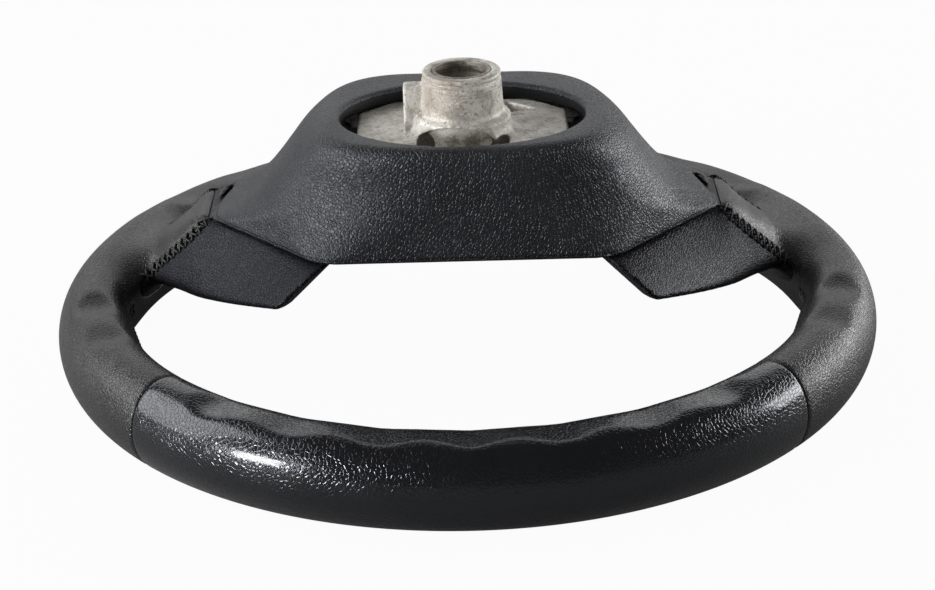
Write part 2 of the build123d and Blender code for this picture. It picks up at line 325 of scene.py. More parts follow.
def spoke_field(p):
    """Both spokes, as sections along their length that bend with the rim, cut off at the airbag's space."""
    x, y, z = np.abs(p[..., 0]), p[..., 1], p[..., 2]
    bent = np.clip((x - bend_start) / (spoke_root - bend_start), 0, 1)
    bent = bent * bent * (3 - 2 * bent)
    reach = x + bent * (np.hypot(x, y) - x)
    near_top, near_low, far_low, far_top, top, under, corner = [
        glide(reach, spoke_stations[:, 0], column) for column in spoke_stations[:, 1:].T]
    knee = under + spoke_knee
    corners = [
        (near_top, top), (near_low, knee), (near_low + spoke_turn_in, under),
        (far_low - spoke_turn_in, under), (far_low, knee), (far_top, top)]
    field = inside_outline(y, z, corners, corner)
    field = meet(field, reach - spoke_stations[-1, 0], spoke_end_round)
    lip = np.clip((y - lip_place[0]) / (lip_place[1] - lip_place[0]), 0, 1)
    cavity = (cavity_reach - lip_reach * lip - x - z) / math.sqrt(2)
    return meet(field, cavity, cavity_round)


def body_field(p):
    """Rim and spokes, with a soft saddle where they meet."""
    grip = grip_field(p)
    # The spokes are worked out only where they can reach
    near = (np.abs(p[..., 0]) > spoke_from_x) & (np.abs(p[..., 1] - spoke_mid_y) < spoke_half_y)
    near &= grip < spoke_far_off
    field = grip.copy()
    if near.any():
        field[near] = join(grip[near], spoke_field(p[near]), saddle_radius)
    return field


# Fields of the rear cover
def cover_outline(p, drop):
    """The outline of the cover at each height, lowered by a drop."""
    rise = np.clip((p[..., 2] + drop - cover_edge_z) / (cover_top_z - cover_edge_z), 0, 1)
    near_dx, near_dy, ear_dx, ear_near_dy, ear_far_dy, far_dx, far_dy, corner = [
        glide(rise, cover_profile[:, 0], column) for column in cover_profile[:, 1:].T]
    near = (near_corner[0] + near_dx, near_corner[1] + near_dy)
    far = (far_corner[0] + far_dx, far_corner[1] + far_dy)
    ear_near = (ear_x + ear_dx, ear_near_y + ear_near_dy)
    ear_far = (ear_x + ear_dx - ear_taper, ear_far_y + ear_far_dy)
    corners = [(np.zeros_like(rise), near[1]), near, ear_near, ear_far, far, (np.zeros_like(rise), far[1])]
    x, y = np.abs(p[..., 0]), p[..., 1]
    field = past_line(x, y, corners[0], corners[1])
    for start, end, soft in zip(corners[1:-1], corners[2:], cover_corner_softness):
        field = meet(field, past_line(x, y, start, end), soft * corner)
    return field


def cover_field(p):
    """The shell of the cover, with its opening, collar and tool slots."""
    x, y, z = p[..., 0], p[..., 1], p[..., 2]
    outer = meet(cover_outline(p, 0), z - cover_top_z, cover_top_round)
    outer = meet(outer, cover_edge_z - z, cover_edge_round)
    inner = np.maximum(cover_outline(p, cover_wall) + cover_wall, z - cover_top_z + cover_wall)
    wide = np.hypot(x / opening_half[0], y / opening_half[1])
    opening = (wide - 1) * min(opening_half)
    collar = np.maximum(opening - cover_wall, cover_top_z - collar_depth - z)
    collar = np.maximum(collar, z - cover_top_z + cover_wall / 2)
    shell = meet(outer, -inner, cover_inner_round)
    shell = join(shell, collar, collar_fillet)
    shell = meet(shell, -opening, opening_round)
    along = (np.abs(x) - slot_place[0]) * -math.sin(slot_lean) + (y - slot_place[1]) * math.cos(slot_lean)
    aside = (np.abs(x) - slot_place[0]) * math.cos(slot_lean) + (y - slot_place[1]) * math.sin(slot_lean)
    half = slot_size[0] / 2 - slot_size[1] / 2
    slot = np.hypot(np.maximum(np.abs(along) - half, 0), aside) - slot_size[1] / 2
    return meet(shell, -slot, slot_round)


# Fields of the hub casting
def box_field(p, limits, soft):
    """A box between limits along each axis, with rounded edges."""
    field = None
    for axis, (low, high) in enumerate(limits):
        side = np.maximum(low - p[..., axis], p[..., axis] - high)
        field = side if field is None else meet(field, side, soft)
    return field


def hub_field(p):
    """Boss, lug, pedestal, plate, tabs, stem and ribs, less arch, pockets, window and bush seat."""
    x, y, z = p[..., 0], p[..., 1], p[..., 2]
    radius = np.hypot(x, y)
    groove = groove_depth * np.exp(-((z - groove_z) / groove_width) ** 2)
    boss = radius - boss_radius - boss_draft * (boss_top_z - z) + groove
    boss = meet(boss, z - boss_top_z, boss_round)
    pedestal = meet(radius - pedestal_radius, z - pedestal_top_z, pedestal_round)
    body = join(boss, pedestal, pedestal_round)
    corner = (np.abs(x) + np.abs(y) - sum(plate_half) + plate_corner) / math.sqrt(2)
    plate = np.maximum(np.maximum(np.abs(x) - plate_half[0], np.abs(y) - plate_half[1]), corner)
    plate = meet(plate, np.abs(z - plate_top_z + plate_thickness / 2) - plate_thickness / 2, plate_round)
    for place_x, place_y in screw_places:
        tab = np.hypot(np.abs(x) - place_x, y - place_y) - tab_radius
        tab = meet(tab, np.maximum(z - tab_top_z, plate_top_z - plate_thickness - z), tab_round)
        plate = join(plate, tab, tab_fillet)
    body = np.maximum(body, plate_top_z - plate_thickness - z)
    body = join(body, plate, plate_fillet)
    body = join(body, box_field(p, lug_box, lug_round), lug_fillet)
    stem = np.maximum(radius - stem_radius, np.maximum(stem_bottom_z - z, z - plate_top_z))
    under = plate_top_z - plate_thickness
    ribs = np.full(x.shape, far_away)
    for turn in rib_turns:
        away = np.abs(x * math.sin(math.radians(turn)) - y * math.cos(math.radians(turn))) - rib_half
        ribs = np.minimum(ribs, away)
    ribs = np.maximum(ribs, np.maximum(under - rib_height - z, z - under - rib_sink))
    ribs = np.maximum(ribs, np.maximum(np.abs(x) - plate_half[0], np.abs(y) - plate_half[1]))
    body = join(body, join(stem, ribs, rib_fillet), rib_fillet)
    level = np.hypot((x - arch_place[0]) / arch_half[0], (z - arch_place[1]) / arch_half[1])
    arch = np.maximum((level - 1) * arch_half[1], pedestal_radius - arch_depth - radius)
    arch = np.maximum(arch, y - arch_far_y)
    body = meet(body, -np.maximum(arch, under + arch_floor - z), arch_round)
    for place_x, place_z, size in pockets:
        back = np.maximum(bush_radius + pocket_wall - radius, y - pocket_far_y)
        pocket = np.maximum(np.hypot(x - place_x, z - place_z) - size, back)
        body = meet(body, -pocket, pocket_round)
    hole = np.maximum(inside_outline(x, y, window, window_corner), window_floor_z - z)
    body = meet(body, -hole, window_round)
    return np.maximum(body, bush_radius - radius)


def along_arm(p, drop):
    """A band along the side line of the arms, lowered by a drop."""
    x, z = np.abs(p[..., 0]), p[..., 2] + drop
    field = None
    for (ax, az), (bx, bz) in zip(arm_line, arm_line[1:]):
        run = np.array((bx - ax, bz - az))
        way = np.clip(((x - ax) * run[0] + (z - az) * run[1]) / (run ** 2).sum(), 0, 1)
        gap = np.hypot(x - ax - way * run[0], z - az - way * run[1])
        field = gap if field is None else np.minimum(field, gap)
    return field - arm_half_thickness


def arm_field(p):
    """Both channel arms, open to the front, from under the plate to the ring."""
    x, y = np.abs(p[..., 0]), p[..., 1]
    lower = np.maximum(past_line(x, y, arm_plan[0], arm_plan[1]), arm_plan[0][1] - y)
    upper = np.maximum(past_line(x, y, arm_plan[2], arm_plan[3]), past_line(x, y, arm_plan[3], arm_plan[4]))
    plan = np.maximum(np.maximum(lower, upper), past_line(x, y, arm_plan[1], arm_plan[2]))
    solid = meet(along_arm(p, 0), plan, arm_round)
    hollow = np.maximum(along_arm(p, arm_web), plan + arm_lip)
    return np.maximum(np.maximum(solid, -hollow), arm_start - arm_overlap - x)


def foam_field(p):
    """The foam under the leather and skins."""
    return body_field(p) + foam_inset


# Meshing
def gradient(field, points, reach=0.05):
    """Slope of a field at points."""
    parts = []
    for axis in range(3):
        shift = np.zeros(3)
        shift[axis] = reach
        parts.append(field(points + shift) - field(points - shift))
    return np.stack(parts, -1) / (2 * reach)


def to_surface(field, points, limit, rounds=2):
    """Moves points on to the surface of a field."""
    for _ in range(rounds):
        slope = gradient(field, points)
        move = slope * (field(points) / np.maximum((slope ** 2).sum(-1), 1e-3))[:, None]
        length = np.linalg.norm(move, axis=1)[:, None]
        points = points - move * np.minimum(1, limit / np.maximum(length, 1e-9))
    return points


def surface_net(field, low, high, step, rounds=4):
    """An even quad mesh of a field's surface: one point in each grid cell that the surface crosses."""
    axes = [np.arange(a, b + step, step) for a, b in zip(low, high)]
    values = np.empty([len(a) for a in axes])
    across, up = np.meshgrid(axes[1], axes[2], indexing="ij")
    for number, x in enumerate(axes[0]):
        values[number] = field(np.stack([np.full(across.shape, x), across, up], -1))
    inside = values < 0
    offsets = [np.array((i, j, k)) for i in (0, 1) for j in (0, 1) for k in (0, 1)]
    sizes = np.array(values.shape) - 1
    windows = [tuple(slice(o, o + s) for o, s in zip(offset, sizes)) for offset in offsets]
    count = sum(inside[window].astype(np.int8) for window in windows)
    active = (count > 0) & (count < 8)
    cells = np.argwhere(active)
    index = np.full(sizes, -1)
    index[active] = np.arange(len(cells))
    total, hits = np.zeros((len(cells), 3)), np.zeros(len(cells))
    for start in offsets:
        for end in offsets:
            if (end - start).sum() == 1 and (end - start).min() == 0:
                at_start = values[tuple((cells + start).T)]
                at_end = values[tuple((cells + end).T)]
                crossed = (at_start < 0) != (at_end < 0)
                way = at_start[crossed] / (at_start[crossed] - at_end[crossed])
                total[crossed] += cells[crossed] + start + way[:, None] * (end - start)
                hits[crossed] += 1
    points = np.array(low) + step * total / hits[:, None]
    quads = []
    for axis in range(3):
        along, side_u, side_v = np.roll(np.eye(3, dtype=int), -axis, axis=0)
        starts = inside[tuple(slice(0, -1 if a else None) for a in along)]
        ends = inside[tuple(slice(a, None) for a in along)]
        edges = np.argwhere(starts != ends)
        low_ok = ((edges > 0) | (along > 0)).all(1)
        high_ok = ((edges < sizes) | (along > 0)).all(1)
        edges = edges[low_ok & high_ok]
        ring = [edges - side_u - side_v, edges - side_v, edges, edges - side_u]
        quad = np.stack([index[tuple(cell.T)] for cell in ring], 1)
        outwards = starts[tuple(edges.T)]
        quads.append(np.where(outwards[:, None], quad, quad[:, ::-1]))
    quads = np.concatenate(quads)
    links = np.concatenate([quads[:, [i, (i + 1) % 4]] for i in range(4)])
    for _ in range(rounds):
        mean, number = np.zeros_like(points), np.zeros(len(points))
        np.add.at(mean, links[:, 0], points[links[:, 1]])
        np.add.at(number, links[:, 0], 1)
        points = points + 0.5 * (mean / number[:, None] - points)
        points = to_surface(field, points, step, 1)
    return to_surface(field, points, step), quads


def mesh_piece(name, points, faces, material):
    """A smooth-shaded mesh piece on the wheel's body, from points in millimetres."""
    mesh = bpy.data.meshes.new(name)
    mesh.from_pydata((np.asarray(points) * MM).tolist(), [], [list(face) for face in faces])
    mesh.shade_smooth()
    mesh.materials.append(material)
    piece = bpy.data.objects.new(name, mesh)
    bpy.context.scene.collection.objects.link(piece)
    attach(piece, "root")
    return piece


# Materials
class Nodes:
    """Short calls for the nodes of one material."""

    def __init__(self, name):
        self.material = bpy.data.materials.new(name)
        self.material.use_nodes = True
        self.tree = self.material.node_tree
        self.shader = self.tree.nodes["Principled BSDF"]
        self.place = self.add("ShaderNodeTexCoord").outputs["Object"]
        parts = self.add("ShaderNodeSeparateXYZ")
        self.link(self.place, parts.inputs["Vector"])
        self.height = parts.outputs["Z"]

    def add(self, kind, **settings):
        node = self.tree.nodes.new(kind)
        for key, value in settings.items():
            setattr(node, key, value)
        return node

    def link(self, source, target):
        self.tree.links.new(source, target)

    def noise(self, scale, detail=3.0, roughness=0.55, place=None):
        node = self.add("ShaderNodeTexNoise")
        node.inputs["Scale"].default_value = scale
        node.inputs["Detail"].default_value = detail
        node.inputs["Roughness"].default_value = roughness
        self.link(place or self.place, node.inputs["Vector"])
        return node.outputs["Fac"]

    def cells(self, scale, feature, place):
        node = self.add("ShaderNodeTexVoronoi", feature=feature)
        node.inputs["Scale"].default_value = scale
        if feature == "SMOOTH_F1":
            node.inputs["Smoothness"].default_value = 0.4
        self.link(place, node.inputs["Vector"])
        return node.outputs["Distance"]

    def ramp(self, value, low, high, low_out=0.0, high_out=1.0):
        """A value moved smoothly from one range to another."""
        node = self.add("ShaderNodeMapRange", interpolation_type="SMOOTHSTEP")
        for key, number in (("From Min", low), ("From Max", high), ("To Min", low_out), ("To Max", high_out)):
            node.inputs[key].default_value = number
        self.link(value, node.inputs["Value"])
        return node.outputs["Result"]

    def math(self, operation, a, b):
        node = self.add("ShaderNodeMath", operation=operation)
        for socket, value in zip(node.inputs, (a, b)):
            if isinstance(value, (int, float)):
                socket.default_value = value
            else:
                self.link(value, socket)
        return node.outputs["Value"]

    def mix(self, share, a, b):
        """A colour between two colours."""
        node = self.add("ShaderNodeMix", data_type="RGBA")
        for socket, value in zip((node.inputs["Factor"], node.inputs["A"], node.inputs["B"]), (share, a, b)):
            if hasattr(value, "is_output"):
                self.link(value, socket)
            else:
                socket.default_value = (*value, 1.0) if isinstance(value, tuple) else value
        return node.outputs["Result"]

    def warped(self, amount, scale):
        """The surface coordinates, bent a little by noise."""
        bend = self.add("ShaderNodeTexNoise")
        bend.inputs["Scale"].default_value = scale
        self.link(self.place, bend.inputs["Vector"])
        spread = self.add("ShaderNodeVectorMath", operation="SCALE")
        spread.inputs["Scale"].default_value = amount
        self.link(bend.outputs["Color"], spread.inputs[0])
        shifted = self.add("ShaderNodeVectorMath", operation="ADD")
        self.link(self.place, shifted.inputs[0])
        self.link(spread.outputs["Vector"], shifted.inputs[1])
        return shifted.outputs["Vector"]

    def stretched(self, scale, bend):
        """The surface coordinates, bent by noise and then scaled along each axis."""
        node = self.add("ShaderNodeMapping")
        node.inputs["Scale"].default_value = scale
        self.link(self.warped(bend, 30.0), node.inputs["Vector"])
        return node.outputs["Vector"]

    def spot(self, place, size):
        """A ragged spot of a size in millimetres round a place."""
        gap = self.add("ShaderNodeVectorMath", operation="DISTANCE")
        gap.inputs[1].default_value = place
        self.link(self.warped(1.2 * size * MM, 900.0), gap.inputs[0])
        return self.ramp(gap.outputs["Value"], 0.9 * size * MM, 1.4 * size * MM, 1, 0)

    def bump(self, height, distance, strength=1.0, under=None):
        """The normal of a relief, over another normal if one is given."""
        node = self.add("ShaderNodeBump")
        node.inputs["Distance"].default_value = distance
        node.inputs["Strength"].default_value = strength
        self.link(height, node.inputs["Height"])
        if under is not None:
            self.link(under, node.inputs["Normal"])
        return node.outputs["Normal"]

    def finish(self, color, roughness, normal=None, **constants):
        """Sets the shader from sockets or constants, and returns the material."""
        for key, value in (("Base Color", color), ("Roughness", roughness), ("Normal", normal)):
            if hasattr(value, "is_output"):
                self.link(value, self.shader.inputs[key])
            elif value is not None:
                self.shader.inputs[key].default_value = (*value, 1.0) if isinstance(value, tuple) else value
        for key, value in constants.items():
            self.shader.inputs[key.replace("_", " ")].default_value = value
        return self.material


def grained(name, dark, light, grain_mm, grain_depth, rough_low, rough_high, marks=(), lines=(), **constants):
    """Black grained leather or plastic: pebbled cells with creases between them, over soft unevenness."""
    n = Nodes(name)
    bent = n.warped(0.6 * grain_mm * MM, 260.0)
    pebbles = n.cells(1 / (grain_mm * MM), "SMOOTH_F1", bent)
    creases = n.ramp(n.cells(0.8 / (grain_mm * MM), "DISTANCE_TO_EDGE", bent), 0.0, 0.22)
    patches = n.noise(28.0)
    speckle = n.noise(1500.0, 2.0)
    height = n.math("SUBTRACT", creases, n.math("MULTIPLY", pebbles, 0.6))
    normal = n.bump(height, grain_depth * MM)
    normal = n.bump(n.noise(90.0), 0.25 * MM, 0.5, normal)
    tint = n.mix(n.ramp(patches, 0.3, 0.7), dark, light)
    # Darker in the creases between the pebbles: painted shade
    tint = n.mix(n.ramp(creases, 0.0, 0.5, 0.45, 0.0), tint, tuple(0.4 * c for c in dark))
    for place, size, shade in marks:
        tint = n.mix(n.spot(place, size), tint, shade)
    # Dark lines at given heights: painted shade, over a dip in the relief
    for level, half in lines:
        away = n.math("ABSOLUTE", n.math("SUBTRACT", n.height, level * MM), 0)
        line = n.ramp(away, half * MM, 2 * half * MM, 1, 0)
        tint = n.mix(line, tint, (0.002, 0.002, 0.002))
        normal = n.bump(n.math("SUBTRACT", 1.0, line), 0.5 * MM, 1.0, normal)
    uneven = n.math("ADD", patches, n.math("MULTIPLY", speckle, 0.35))
    return n.finish(tint, n.ramp(uneven, 0.4, 0.95, rough_low, rough_high), normal, **constants)


def cast_metal(name, light, dark, dirt_share, metallic, marks=()):
    """Cast metal with a rough skin, patches of dirt, dark specks, scratches and turning lines at the top."""
    n = Nodes(name)
    blotches = n.noise(60.0, 5.0, 0.65)
    grit = n.noise(900.0, 4.0, 0.7)
    specks = n.ramp(n.noise(620.0, 3.0, 0.6), 0.58, 0.68)
    dirt = n.ramp(n.noise(130.0, 6.0, 0.75), 0.46, 0.68)
    long_cells = n.cells(150.0, "DISTANCE_TO_EDGE", n.stretched((1.0, 1.0, 0.3), 0.03))
    scratches = n.ramp(long_cells, 0.0, 0.018, 1, 0)
    turned = n.ramp(n.noise(1.0, 3.0, 0.6, n.stretched((70.0, 70.0, 1500.0), 0.0006)), 0.5, 0.64)
    turned = n.math("MULTIPLY", turned, n.ramp(n.height, turned_start_z * MM, turned_full_z * MM))
    tint = n.mix(n.ramp(blotches, 0.35, 0.65), dark, light)
    tint = n.mix(n.math("MULTIPLY", dirt, dirt_share), tint, (0.13, 0.105, 0.08))
    tint = n.mix(n.math("MULTIPLY", turned, 0.55), tint, (0.16, 0.14, 0.12))
    tint = n.mix(n.math("MULTIPLY", scratches, 0.4), tint, (0.16, 0.14, 0.12))
    tint = n.mix(n.math("MULTIPLY", specks, 0.6), tint, (0.05, 0.042, 0.035))
    for place, size, shade in marks:
        tint = n.mix(n.math("MULTIPLY", n.spot(place, size), n.ramp(grit, 0.3, 0.6, 0.9, 0.5)), tint, shade)
    normal = n.bump(grit, 0.3 * MM, 0.9)
    normal = n.bump(blotches, 0.5 * MM, 0.6, normal)
    normal = n.bump(n.math("SUBTRACT", 1.0, n.math("MAXIMUM", scratches, turned)), 0.12 * MM, 0.8, normal)
    return n.finish(tint, n.ramp(grit, 0.3, 0.7, 0.34, 0.6), normal, Metallic=metallic)


def machined(name, color, low, high):
    """Plain steel with faint machining marks, between a low and a high roughness."""
    n = Nodes(name)
    marks = n.noise(400.0, 4.0, 0.6)
    tint = n.mix(n.ramp(marks, 0.35, 0.7), tuple(0.6 * c for c in color), color)
    return n.finish(tint, n.ramp(marks, 0.3, 0.7, low, high), n.bump(marks, 0.05 * MM, 0.5), Metallic=1.0)


def sewing_thread(name):
    """Black fibrous thread."""
    n = Nodes(name)
    fibres = n.noise(2500.0, 3.0)
    tint = n.mix(n.ramp(fibres, 0.3, 0.7), (0.006, 0.006, 0.007), (0.02, 0.02, 0.022))
    return n.finish(tint, n.ramp(fibres, 0.3, 0.7, 0.45, 0.65), n.bump(fibres, 0.1 * MM, 0.8))


def plain_floor(name):
    """A grey floor that looks white to the camera and keeps a faint shadow."""
    n = Nodes(name)
    dark, light = [(shade, shade, shade) for shade in floor_shades]
    tint = n.mix(n.ramp(n.noise(3.0), 0.3, 0.7), dark, light)
    n.finish(tint, 0.7)
    glow = n.add("ShaderNodeEmission")
    blend = n.add("ShaderNodeMixShader")
    share = n.add("ShaderNodeMapRange")
    share.inputs["To Max"].default_value = floor_white_share
    n.link(n.add("ShaderNodeLightPath").outputs["Is Camera Ray"], share.inputs["Value"])
    n.link(share.outputs["Result"], blend.inputs["Fac"])
    n.link(n.shader.outputs["BSDF"], blend.inputs[1])
    n.link(glow.outputs["Emission"], blend.inputs[2])
    n.link(blend.outputs["Shader"], n.tree.nodes["Material Output"].inputs["Surface"])
    return n.material


# Spots of dirt and wear: place in metres, size in millimetres, colour
leather_spot = ((0.1233, 0.1306, 0.0385), 1.0, (0.001, 0.001, 0.001))
cover_scuff = ((0.0625, -0.0505, 0.0655), 1.3, (0.3, 0.29, 0.27))
arch_dirt = (0.16, 0.12, 0.085)
hub_dirt = [
    ((-0.012, -0.016, 0.1085), 4.0, arch_dirt),
    ((-0.003, -0.019, 0.1095), 4.5, (0.22, 0.17, 0.12)),
    ((0.007, -0.018, 0.109), 4.0, arch_dirt),
    ((0.0, 0.0, 0.1335), 11.5, (0.30, 0.25, 0.20)),
]

# Dark lines round the lower edge of the cover, painted shade of its turned-under lip and of a ledge above it:
# height and half width
edge_shade_lines = [(cover_edge_z + 1.9, 0.22), (cover_edge_z, 0.4)]

# Highlights on the top leather, the spoke skins and the cover are a little blue
cool = (0.88, 0.93, 1.0, 1.0)
side_leather = grained(
    "side_leather", (0.012, 0.012, 0.013), (0.021, 0.021, 0.023), 1.2, 0.11, 0.29, 0.42,
    marks=[leather_spot])
worn_leather = grained(
    "worn_leather", (0.003, 0.003, 0.004), (0.005, 0.005, 0.007), 1.4, 0.09, 0.15, 0.27,
    Coat_Weight=0.3, Coat_Roughness=0.1, Specular_Tint=cool)
skin_grain = grained(
    "spoke_skin", (0.006, 0.006, 0.008), (0.010, 0.010, 0.013), 1.1, 0.09, 0.3, 0.4,
    Specular_IOR_Level=0.15, Specular_Tint=cool)
cover_grain = grained(
    "cover_plastic", (0.012, 0.012, 0.014), (0.019, 0.019, 0.022), 1.2, 0.16, 0.36, 0.46,
    marks=[cover_scuff], lines=edge_shade_lines, Specular_Tint=cool)
# The wall inside the cover's opening: the cover's plastic made darker, painted shade in the opening
cover_wall_painted_shade = grained(
    "cover_wall", (0.003, 0.003, 0.003), (0.004, 0.004, 0.005), 0.9, 0.03, 0.5, 0.6,
    Specular_IOR_Level=0.2)
foam_grey = grained("foam", (0.008, 0.008, 0.008), (0.014, 0.014, 0.014), 0.8, 0.2, 0.8, 0.95)
thread_black = sewing_thread("thread")
hub_alloy = cast_metal("hub_alloy", (0.82, 0.79, 0.74), (0.60, 0.57, 0.51), 0.55, 0.2, hub_dirt)
bush_steel = cast_metal("bush_steel", (0.42, 0.385, 0.34), (0.18, 0.155, 0.13), 0.8, 0.7)
ring_steel = machined("ring_steel", (0.4, 0.4, 0.4), 0.35, 0.55)
screw_zinc = machined("screw_zinc", (0.45, 0.45, 0.44), 0.3, 0.5)

cad_finish = {"hub_spline_bush": bush_steel, "rim_core_ring": ring_steel, "rear_cover_screws": screw_zinc}
for node, material in cad_finish.items():
    mesh = frame["nodes"][node].data
    mesh.materials.clear()
    mesh.materials.append(material)


# Leather panels and spoke skins
seam_turn = math.radians(top_seam_angle)
stitch_run = np.array((stitch_bottom[0] - stitch_top[0], stitch_bottom[1] - stitch_top[1]))
stitch_normal = np.array((-stitch_run[1], stitch_run[0])) / np.hypot(*stitch_run)


def past_stitch(p):
    """Distance outwards past the stitched edge of the spoke skins."""
    out, up = np.abs(p[..., 0]) - stitch_top[0], p[..., 2] - stitch_top[1]
    plane = out * stitch_normal[0] + up * stitch_normal[1]
    return np.maximum(plane, np.hypot(p[..., 0], p[..., 1]) - stitch_cylinder)


def past_top_seam(p):
    """Distance past the seam of the top panel, on either side."""
    x, y = np.abs(p[..., 0]), -p[..., 1]
    return x * math.cos(seam_turn) - y * math.sin(seam_turn)


def panel_of(p):
    """Which panel a point of the body belongs to."""
    side = np.where(p[..., 0] > 0, "right", "left").astype("U20")
    names = np.char.add("leather_", np.char.add(side, "_panel"))
    in_rim = np.hypot(p[..., 0], p[..., 1]) > stitch_cylinder - top_panel_margin
    in_top = (p[..., 1] < 0) & (past_top_seam(p) < 0) & in_rim
    names = np.where(in_top, "leather_top_panel", names)
    in_skin = (past_stitch(p) < 0) & (np.abs(p[..., 0]) > skin_from_x) & ~in_top
    return np.where(in_skin, np.char.add(side, "_spoke_skin"), names)


def comes_near(face, origin, normal):
    """Whether a corner of a face is close to a plane."""
    return any(abs((vert.co - origin).dot(normal)) < cut_reach for vert in face.verts)


def cut_body(points, quads):
    """Cuts the body's mesh along its seams, with a few close cuts beside each for the rolled edges."""
    mesh = bpy.data.meshes.new("body")
    mesh.from_pydata(points.tolist(), [], quads.tolist())
    bm = bmesh.new()
    bm.from_mesh(mesh)
    bpy.data.meshes.remove(mesh)
    planes = []
    for side in (-1, 1):
        seam = Vector((side * math.cos(seam_turn), math.sin(seam_turn), 0))
        planes.append((Vector((0, 0, 0)), seam, lambda c, s=side: c.x * s > 0 and c.y < 0))
        edge = Vector((side * stitch_normal[0], 0, stitch_normal[1]))
        start = Vector((side * stitch_top[0], 0, stitch_top[1]))
        stitch_limit = stitch_cylinder + stitch_margin
        planes.append((start, edge, lambda c, s=side: c.x * s > stitch_from_x and c.xy.length < stitch_limit))
    planes.append((Vector((0, 0, 0)), Vector((1, 0, 0)), lambda c: c.y > back_seam_from_y))
    for origin, normal, wanted in planes:
        for place in cut_places:
            faces = [face for face in bm.faces if wanted(face.calc_center_median())]
            near = [face for face in faces if comes_near(face, origin, normal)]
            geometry = set(near)
            for face in near:
                geometry.update(face.verts, face.edges)
            bmesh.ops.bisect_plane(
                bm, geom=list(geometry), dist=cut_merge, plane_co=origin + normal * place, plane_no=normal)
    bm.verts.index_update()
    cut_points = np.array([vert.co for vert in bm.verts])
    cut_faces = [[vert.index for vert in face.verts] for face in bm.faces]
    bm.free()
    return cut_points, cut_faces


def seam_distance(p):
    """Distance to the nearest seam."""
    top = np.where(p[..., 1] < 0, np.abs(past_top_seam(p)), far_away)
    stitch = np.where(np.abs(p[..., 0]) > stitch_from_x, np.abs(past_stitch(p)), far_away)
    back = np.where(p[..., 1] > back_seam_from_y, np.abs(p[..., 0]), far_away)
    return np.minimum(np.minimum(top, stitch), back)


def rolled(points):
    """Sinks the edges of the panels into their seams."""
    way = np.clip(1 - seam_distance(points) / roll_width, 0, 1)
    slope = gradient(body_field, points)
    normal = slope / np.linalg.norm(slope, axis=1)[:, None]
    return points - normal * (roll_depth * (1 - np.sqrt(1 - roll_fullness * way ** 2)))[:, None]


def body_panels():
    """The leather panels and spoke skins, cut from one mesh of the body."""
    margin = 3.0
    outer = rim_diameter / 2 + margin
    points, quads = surface_net(
        body_field, (-outer, -outer, -margin), (outer, outer, spoke_top_z + margin), body_step)
    points, faces = cut_body(points, quads)
    centres = np.array([points[face].mean(0) for face in faces])
    names = panel_of(centres)
    points = rolled(points)
    for name in sorted(set(names)):
        chosen = [face for face, owner in zip(faces, names) if owner == name]
        used = sorted({number for face in chosen for number in face})
        renumber = {number: place for place, number in enumerate(used)}
        finish = worn_leather if "top" in name else skin_grain if "skin" in name else side_leather
        piece = mesh_piece(
            name.replace("_panel", "_wrap").replace("_skin", "_wrap"), points[used],
            [[renumber[number] for number in face] for face in chosen], finish)
        thick = piece.modifiers.new("thickness", "SOLIDIFY")
        thick.thickness = leather * MM
        thick.offset = -1
        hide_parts(name)


body_panels()


# Rear cover
def cover_shell():
    """The rear cover, with a finer grain and a darker colour, painted shade, on the wall of its opening."""
    margin = 3.0
    points, quads = surface_net(
        cover_field, (-ear_x - margin, near_corner[1] - margin, cover_edge_z - margin),
        (ear_x + margin, far_corner[1] + margin, cover_top_z + margin), cover_step)
    piece = mesh_piece("rear_cover_shell", points, quads, cover_grain)
    piece.data.materials.append(cover_wall_painted_shade)
    centres = points[quads].mean(1)
    wide = np.hypot(centres[:, 0] / opening_half[0], centres[:, 1] / opening_half[1])
    in_wall = (wide < smooth_wall_reach) & (centres[:, 2] < cover_top_z - smooth_wall_drop)
    piece.data.polygons.foreach_set("material_index", in_wall.astype(np.int32))
    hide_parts("rear_cover")


cover_shell()


# Hub and foam
def field_piece(name, field, low, high, step, material, node):
    """A piece meshed from a field, in place of a node."""
    points, quads = surface_net(field, low, high, step)
    piece = mesh_piece(name, points, quads, material)
    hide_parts(node)


def hub_pieces():
    """The hub casting: its body, meshed finely, and its arms."""
    margin = 2.0
    reach_x = screw_places[0][0] + tab_radius + margin
    reach_y = screw_places[1][1] + tab_radius + margin
    low = (-reach_x, -reach_y, stem_bottom_z - margin)
    high = (reach_x, reach_y, boss_top_z + margin)
    field_piece("hub_cast_body", hub_field, low, high, hub_step, hub_alloy, "hub_casting")
    margin_x, margin_y, margin_z = 6.0, 4.0, 8.0
    low = (-rim_radius - margin_x, arm_plan[0][1] - margin_y, rim_mid_z - margin_z)
    high = (rim_radius + margin_x, arm_plan[2][1] + margin_y, plate_top_z)
    field_piece("hub_cast_arms", arm_field, low, high, arm_step, hub_alloy, "hub_casting")


def foam_piece():
    """The foam, meshed coarsely because it is covered."""
    outer = rim_diameter / 2
    margin = 1.0
    low, high = (-outer, -outer, 0), (outer, outer, spoke_top_z + margin)
    field_piece("foam_core", foam_field, low, high, foam_step, foam_grey, "foam_body")


hub_pieces()
foam_piece()


# Cross-stitching along the spoke skins and round the inside of the rim
def first_crossing(starts, ends, samples=200):
    """Where the line from each start to its end first enters the body, and whether it does."""
    way = np.linspace(0, 1, samples)
    values = body_field(starts[:, None] + (ends - starts)[:, None] * way[None, :, None])
    entered = np.argmax(values < 0, axis=1)
    rows = np.arange(len(starts))
    before, after = values[rows, np.maximum(entered - 1, 0)], values[rows, entered]
    share = before / np.maximum(before - after, 1e-9)
    at = (entered - 1 + share) / (samples - 1)
    return starts + (ends - starts) * at[:, None], entered > 0


